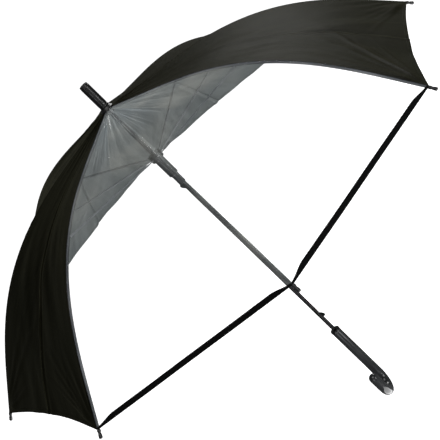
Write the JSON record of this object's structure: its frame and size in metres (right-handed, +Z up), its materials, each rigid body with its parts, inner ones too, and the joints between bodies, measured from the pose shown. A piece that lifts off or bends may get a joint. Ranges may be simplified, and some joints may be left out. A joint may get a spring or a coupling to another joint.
{
  "type": "stick umbrella",
  "caption": "Open stick umbrella: shallow ribbed dome with black cloth panels and clear film panels, sliding runner, stretchers and a J handle.",
  "frame": {"origin": "on the shaft's axis, 60 mm below the top of the handle's straight grip", "axes": "+Z up the shaft to the ferrule; rib 1, between the two clear panels, points to -Y"},
  "size_m": [1.063, 1.063, 0.8433],
  "materials": {
    "shaft_steel": "gloss black coating",
    "rib_steel": "dark plated steel, semi-gloss",
    "bright_wire": "bright drawn wire",
    "black_plastic": "satin moulded black",
    "handle_plastic": "polished black-grey moulding",
    "black_cloth": "tight plain weave with a slight sheen",
    "clear_film": "clear film, glossy",
    "black_tape": "matt woven tape"
  },
  "bodies": {
    "root": {"shaft": "shaft_steel", "ferrule": "black_plastic", "canopy_cap": "black_plastic", "top_notch": "black_plastic", "notch_wire": "bright_wire", "stop_pin": "shaft_steel", "handle": "handle_plastic", "handle_collar": "black_plastic"},
    "runner": {"runner": "black_plastic", "runner_wire": "bright_wire"},
    "rib_1": {"rib_1": "rib_steel", "rib_tip_1": "black_plastic", "clear_panel_1_left": "clear_film", "hem_tape_1_left": "black_tape", "clear_panel_8_right": "clear_film", "hem_tape_8_right": "black_tape"},
    "rib_2": {"rib_2": "rib_steel", "rib_tip_2": "black_plastic", "black_panel_2_left": "black_cloth", "clear_panel_1_right": "clear_film", "hem_tape_1_right": "black_tape"},
    "rib_3": {"rib_3": "rib_steel", "rib_tip_3": "black_plastic", "black_panel_3_left": "black_cloth", "black_panel_2_right": "black_cloth"},
    "rib_4": {"rib_4": "rib_steel", "rib_tip_4": "black_plastic", "black_panel_4_left": "black_cloth", "black_panel_3_right": "black_cloth"},
    "rib_5": {"rib_5": "rib_steel", "rib_tip_5": "black_plastic", "black_panel_5_left": "black_cloth", "black_panel_4_right": "black_cloth", "closure_strap": "black_tape", "strap_stud": "black_plastic"},
    "rib_6": {"rib_6": "rib_steel", "rib_tip_6": "black_plastic", "black_panel_6_left": "black_cloth", "black_panel_5_right": "black_cloth"},
    "rib_7": {"rib_7": "rib_steel", "rib_tip_7": "black_plastic", "black_panel_7_left": "black_cloth", "black_panel_6_right": "black_cloth"},
    "rib_8": {"rib_8": "rib_steel", "rib_tip_8": "black_plastic", "clear_panel_8_left": "clear_film", "hem_tape_8_left": "black_tape", "black_panel_7_right": "black_cloth"},
    "stretcher_1": {"stretcher_1": "rib_steel"},
    "stretcher_2": {"stretcher_2": "rib_steel"},
    "stretcher_3": {"stretcher_3": "rib_steel"},
    "stretcher_4": {"stretcher_4": "rib_steel"},
    "stretcher_5": {"stretcher_5": "rib_steel"},
    "stretcher_6": {"stretcher_6": "rib_steel"},
    "stretcher_7": {"stretcher_7": "rib_steel"},
    "stretcher_8": {"stretcher_8": "rib_steel"},
    "upper_catch": {"upper_catch": "shaft_steel"},
    "lower_catch": {"lower_catch": "shaft_steel"}
  },
  "joints": [
    {"name": "runner_slide", "type": "slide", "parent": "root", "child": "runner", "axis": [0, 0, -1], "range_m": [0, 0.3935], "deforming": ["upper_catch", "lower_catch"]},
    {"name": "rib_1_fold", "type": "hinge", "parent": "root", "child": "rib_1", "pos_m": [0, -0.008, 0.677], "axis": [1, 0, 0], "range_deg": [0, 60], "deforming": ["clear_panel_1_left", "hem_tape_1_left", "clear_panel_8_right", "hem_tape_8_right"]},
    {"name": "rib_2_fold", "type": "hinge", "parent": "root", "child": "rib_2", "pos_m": [0.00566, -0.00566, 0.677], "axis": [0.7071, 0.7071, 0], "range_deg": [0, 60], "deforming": ["black_panel_2_left", "clear_panel_1_right", "hem_tape_1_right"]},
    {"name": "rib_3_fold", "type": "hinge", "parent": "root", "child": "rib_3", "pos_m": [0.008, 0, 0.677], "axis": [0, 1, 0], "range_deg": [0, 60], "deforming": ["black_panel_3_left", "black_panel_2_right"]},
    {"name": "rib_4_fold", "type": "hinge", "parent": "root", "child": "rib_4", "pos_m": [0.00566, 0.00566, 0.677], "axis": [-0.7071, 0.7071, 0], "range_deg": [0, 60], "deforming": ["black_panel_4_left", "black_panel_3_right"]},
    {"name": "rib_5_fold", "type": "hinge", "parent": "root", "child": "rib_5", "pos_m": [0, 0.008, 0.677], "axis": [-1, 0, 0], "range_deg": [0, 60], "deforming": ["black_panel_5_left", "black_panel_4_right", "closure_strap"]},
    {"name": "rib_6_fold", "type": "hinge", "parent": "root", "child": "rib_6", "pos_m": [-0.00566, 0.00566, 0.677], "axis": [-0.7071, -0.7071, 0], "range_deg": [0, 60], "deforming": ["black_panel_6_left", "black_panel_5_right"]},
    {"name": "rib_7_fold", "type": "hinge", "parent": "root", "child": "rib_7", "pos_m": [-0.008, 0, 0.677], "axis": [0, -1, 0], "range_deg": [0, 60], "deforming": ["black_panel_7_left", "black_panel_6_right"]},
    {"name": "rib_8_fold", "type": "hinge", "parent": "root", "child": "rib_8", "pos_m": [-0.00566, -0.00566, 0.677], "axis": [0.7071, -0.7071, 0], "range_deg": [0, 60], "deforming": ["clear_panel_8_left", "hem_tape_8_left", "black_panel_7_right"]},
    {"name": "stretcher_1_fold", "type": "hinge", "parent": "rib_1", "child": "stretcher_1", "pos_m": [0, -0.27229, 0.61836], "axis": [1, 0, 0], "range_deg": [-120, 0]},
    {"name": "stretcher_2_fold", "type": "hinge", "parent": "rib_2", "child": "stretcher_2", "pos_m": [0.19254, -0.19254, 0.61836], "axis": [0.7071, 0.7071, 0], "range_deg": [-120, 0]},
    {"name": "stretcher_3_fold", "type": "hinge", "parent": "rib_3", "child": "stretcher_3", "pos_m": [0.27229, 0, 0.61836], "axis": [0, 1, 0], "range_deg": [-120, 0]},
    {"name": "stretcher_4_fold", "type": "hinge", "parent": "rib_4", "child": "stretcher_4", "pos_m": [0.19254, 0.19254, 0.61836], "axis": [-0.7071, 0.7071, 0], "range_deg": [-120, 0]},
    {"name": "stretcher_5_fold", "type": "hinge", "parent": "rib_5", "child": "stretcher_5", "pos_m": [0, 0.27229, 0.61836], "axis": [-1, 0, 0], "range_deg": [-120, 0]},
    {"name": "stretcher_6_fold", "type": "hinge", "parent": "rib_6", "child": "stretcher_6", "pos_m": [-0.19254, 0.19254, 0.61836], "axis": [-0.7071, -0.7071, 0], "range_deg": [-120, 0]},
    {"name": "stretcher_7_fold", "type": "hinge", "parent": "rib_7", "child": "stretcher_7", "pos_m": [-0.27229, 0, 0.61836], "axis": [0, -1, 0], "range_deg": [-120, 0]},
    {"name": "stretcher_8_fold", "type": "hinge", "parent": "rib_8", "child": "stretcher_8", "pos_m": [-0.19254, -0.19254, 0.61836], "axis": [0.7071, -0.7071, 0], "range_deg": [-120, 0]},
    {"name": "upper_catch_press", "type": "hinge", "parent": "root", "child": "upper_catch", "pos_m": [0, 0, 0.45894], "axis": [0, 1, 0], "range_deg": [0, 9.5], "stiffness_Nm_per_rad": 0.2},
    {"name": "lower_catch_press", "type": "hinge", "parent": "root", "child": "lower_catch", "pos_m": [0, 0, 0.1284], "axis": [0, 1, 0], "range_deg": [0, 9.5], "stiffness_Nm_per_rad": 0.2}
  ],
  "couplings": [
    {"joint": "rib_1_fold", "follows": "runner_slide", "rad_per_m": 2.6607},
    {"joint": "rib_2_fold", "follows": "runner_slide", "rad_per_m": 2.6607},
    {"joint": "rib_3_fold", "follows": "runner_slide", "rad_per_m": 2.6607},
    {"joint": "rib_4_fold", "follows": "runner_slide", "rad_per_m": 2.6607},
    {"joint": "rib_5_fold", "follows": "runner_slide", "rad_per_m": 2.6607},
    {"joint": "rib_6_fold", "follows": "runner_slide", "rad_per_m": 2.6607},
    {"joint": "rib_7_fold", "follows": "runner_slide", "rad_per_m": 2.6607},
    {"joint": "rib_8_fold", "follows": "runner_slide", "rad_per_m": 2.6607},
    {"joint": "stretcher_1_fold", "follows": "runner_slide", "rad_per_m": -5.3213},
    {"joint": "stretcher_2_fold", "follows": "runner_slide", "rad_per_m": -5.3213},
    {"joint": "stretcher_3_fold", "follows": "runner_slide", "rad_per_m": -5.3213},
    {"joint": "stretcher_4_fold", "follows": "runner_slide", "rad_per_m": -5.3213},
    {"joint": "stretcher_5_fold", "follows": "runner_slide", "rad_per_m": -5.3213},
    {"joint": "stretcher_6_fold", "follows": "runner_slide", "rad_per_m": -5.3213},
    {"joint": "stretcher_7_fold", "follows": "runner_slide", "rad_per_m": -5.3213},
    {"joint": "stretcher_8_fold", "follows": "runner_slide", "rad_per_m": -5.3213}
  ]
}
